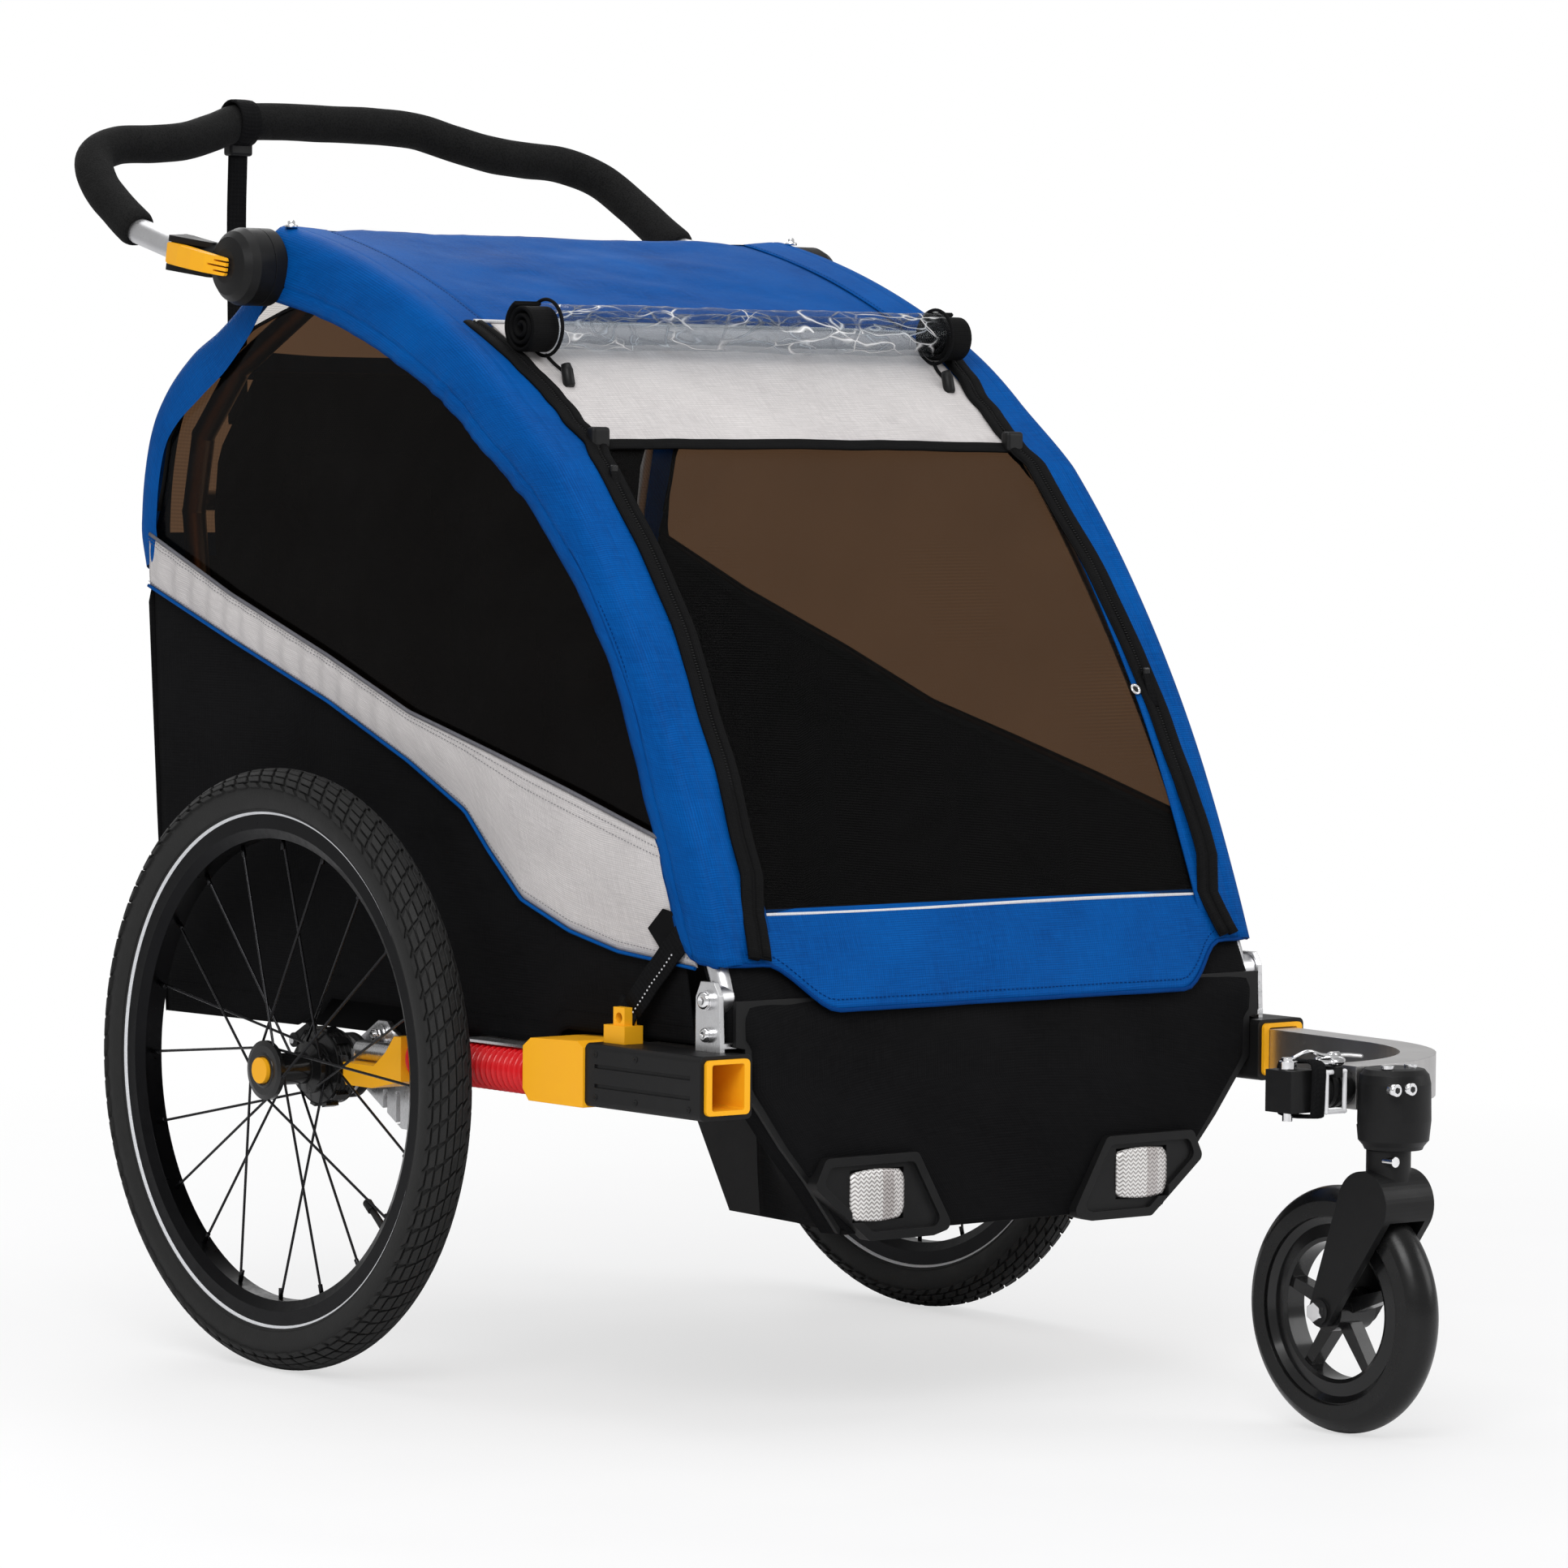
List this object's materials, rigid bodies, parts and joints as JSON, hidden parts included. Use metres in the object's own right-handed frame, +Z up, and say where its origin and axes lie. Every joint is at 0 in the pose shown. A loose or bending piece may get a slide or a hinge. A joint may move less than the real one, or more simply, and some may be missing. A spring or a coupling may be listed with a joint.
{
  "type": "child bicycle trailer",
  "caption": "Two-seat enclosed child bicycle trailer in stroller form: fabric cabin, large spoked wheels on sprung arms, swivel front wheel on its tow arm, folding frame.",
  "frame": {"origin": "centre of the footprint, on the ground", "axes": "front faces -Y, +X is the trailer's left side, +Z up"},
  "size_m": [0.724, 1.3014, 1.0487],
  "materials": {
    "silver_frame": "satin anodised",
    "grey_arm": "matte anodised",
    "steel_hardware": "bright zinc",
    "chrome_hardware": "polished",
    "black_plastic": "fine grain",
    "black_gloss": "glossy",
    "yellow_plastic": "satin",
    "red_rubber": "satin ribbed",
    "red_plastic": "satin",
    "tyre_rubber": "matte",
    "black_rim": "satin black",
    "blue_fabric": "coated woven nylon",
    "black_fabric": "coated woven polyester",
    "pale_fabric": "coated woven polyester",
    "padded_fabric": "padded, matte",
    "tinted_film": "tinted clear vinyl",
    "clear_film": "clear vinyl, rolled",
    "reflector": "prismatic",
    "foam_grip": "matte foam",
    "white_wire": "white coated"
  },
  "bodies": {
    "chassis": {"side_rails": "silver_frame", "cross_tubes": "silver_frame", "socket_housings": "black_plastic", "socket_liners": "yellow_plastic", "spring_caps": "yellow_plastic", "hinge_brackets": "silver_frame", "frame_screws": "steel_hardware", "cover_hooks": "yellow_plastic", "hold_down_straps": "black_fabric", "tub": "black_fabric", "corner_guards": "black_plastic", "reflectors": "reflector", "tow_arm": "grey_arm", "hitch_connector": "black_plastic", "hitch_strap": "black_fabric", "caster_clamp": "black_plastic", "spring_left": "red_rubber", "spring_right": "red_rubber", "body_fabric": "black_fabric", "side_windows": "tinted_film", "seat": "padded_fabric"},
    "arm_left": {"suspension_arm_left": "silver_frame", "spring_seat_left": "yellow_plastic"},
    "arm_right": {"suspension_arm_right": "silver_frame", "spring_seat_right": "yellow_plastic"},
    "wheel_left": {"tyre_left": "tyre_rubber", "rim_left": "black_rim", "spokes_left": "black_rim", "hub_left": "black_plastic"},
    "wheel_right": {"tyre_right": "tyre_rubber", "rim_right": "black_rim", "spokes_right": "black_rim", "hub_right": "black_plastic"},
    "button_left": {"axle_button_left": "yellow_plastic"},
    "button_right": {"axle_button_right": "yellow_plastic"},
    "bow_frame": {"bow_left": "silver_frame", "bow_right": "silver_frame", "pivot_hubs": "black_plastic", "cover_shell": "blue_fabric", "front_screen": "tinted_film", "sun_shade": "pale_fabric", "rain_roll": "clear_film"},
    "rear_frame": {"rear_frame": "silver_frame", "seat_back": "padded_fabric"},
    "handlebar": {"handlebar_knuckles": "black_plastic", "handlebar_tube": "silver_frame", "handlebar_grip": "foam_grip", "wrist_strap": "black_fabric"},
    "lever_left": {"handlebar_lever_left": "yellow_plastic"},
    "lever_right": {"handlebar_lever_right": "yellow_plastic"},
    "caster": {"caster_fork": "black_plastic", "caster_bolts": "chrome_hardware"},
    "caster_wheel": {"caster_rim": "black_gloss", "caster_tyre": "tyre_rubber"},
    "hitch_pin": {"hitch_pin": "chrome_hardware"},
    "hitch_ring": {"hitch_ring": "white_wire"},
    "brake_pedal": {"brake_pedal": "red_plastic"},
    "pawl_left": {"brake_pawl_left": "black_rim"},
    "pawl_right": {"brake_pawl_right": "black_rim"}
  },
  "joints": [
    {"name": "frame_fold", "type": "hinge", "parent": "chassis", "child": "bow_frame", "pos_m": [0, -0.27575, 0.33], "axis": [-1, 0, 0], "range_deg": [0, 38], "deforming": ["cover_shell", "front_screen", "sun_shade", "rain_roll", "body_fabric", "side_windows", "hold_down_straps"]},
    {"name": "rear_frame_fold", "type": "hinge", "parent": "chassis", "child": "rear_frame", "pos_m": [0, 0.45425, 0.318], "axis": [1, 0, 0], "range_deg": [0, 76], "deforming": ["seat_back", "body_fabric", "side_windows", "cover_shell", "front_screen", "sun_shade"]},
    {"name": "handlebar_angle", "type": "hinge", "parent": "bow_frame", "child": "handlebar", "pos_m": [0, 0.32025, 0.893], "axis": [1, 0, 0], "range_deg": [-30, 45], "deforming": ["wrist_strap"]},
    {"name": "lever_left_turn", "type": "hinge", "parent": "handlebar", "child": "lever_left", "pos_m": [0.323, 0.38919, 0.90516], "axis": [0, -0.1736, 0.9848], "range_deg": [0, 40]},
    {"name": "lever_right_turn", "type": "hinge", "parent": "handlebar", "child": "lever_right", "pos_m": [-0.323, 0.38919, 0.90516], "axis": [0, 0.1736, -0.9848], "range_deg": [0, 40]},
    {"name": "suspension_left", "type": "hinge", "parent": "chassis", "child": "arm_left", "pos_m": [0.287, -0.10575, 0.259], "axis": [1, 0, 0], "range_deg": [0, 4], "stiffness_Nm_per_rad": 300, "springref_deg": -14.32, "deforming": ["spring_left"]},
    {"name": "wheel_left_spin", "type": "hinge", "parent": "arm_left", "child": "wheel_left", "pos_m": [0.3395, 0.20225, 0.243], "axis": [1, 0, 0], "continuous": true},
    {"name": "button_left_push", "type": "slide", "parent": "wheel_left", "child": "button_left", "axis": [-1, 0, 0], "range_m": [0, 0.004], "stiffness_N_per_m": 600, "springref_m": -0.005},
    {"name": "pawl_left_turn", "type": "hinge", "parent": "arm_left", "child": "pawl_left", "pos_m": [0.3, 0.23965, 0.2621], "axis": [1, 0, 0], "range_deg": [0, 9]},
    {"name": "suspension_right", "type": "hinge", "parent": "chassis", "child": "arm_right", "pos_m": [-0.287, -0.10575, 0.259], "axis": [1, 0, 0], "range_deg": [0, 4], "stiffness_Nm_per_rad": 300, "springref_deg": -14.32, "deforming": ["spring_right"]},
    {"name": "wheel_right_spin", "type": "hinge", "parent": "arm_right", "child": "wheel_right", "pos_m": [-0.3395, 0.20225, 0.243], "axis": [1, 0, 0], "continuous": true},
    {"name": "button_right_push", "type": "slide", "parent": "wheel_right", "child": "button_right", "axis": [1, 0, 0], "range_m": [0, 0.004], "stiffness_N_per_m": 600, "springref_m": -0.005},
    {"name": "pawl_right_turn", "type": "hinge", "parent": "arm_right", "child": "pawl_right", "pos_m": [-0.3, 0.23965, 0.2621], "axis": [1, 0, 0], "range_deg": [0, 9]},
    {"name": "brake_pedal_press", "type": "hinge", "parent": "chassis", "child": "brake_pedal", "pos_m": [-0.04, 0.48625, 0.288], "axis": [-1, 0, 0], "range_deg": [0, 20]},
    {"name": "caster_swivel", "type": "hinge", "parent": "chassis", "child": "caster", "pos_m": [0.12, -0.60175, 0.215], "axis": [0, 0, 1], "continuous": true},
    {"name": "caster_wheel_spin", "type": "hinge", "parent": "caster", "child": "caster_wheel", "pos_m": [0.12, -0.55575, 0.095], "axis": [1, 0, 0], "continuous": true},
    {"name": "hitch_pin_pull", "type": "slide", "parent": "chassis", "child": "hitch_pin", "axis": [0, 0, 1], "range_m": [0, 0.03]},
    {"name": "hitch_ring_swing", "type": "hinge", "parent": "chassis", "child": "hitch_ring", "pos_m": [0.0815, -0.58305, 0.281], "axis": [-1, 0, 0], "range_deg": [0, 40]}
  ],
  "couplings": [
    {"joint": "rear_frame_fold", "follows": "frame_fold", "ratio": 2},
    {"joint": "pawl_left_turn", "follows": "brake_pedal_press", "ratio": 0.45},
    {"joint": "pawl_right_turn", "follows": "brake_pedal_press", "ratio": 0.45}
  ]
}
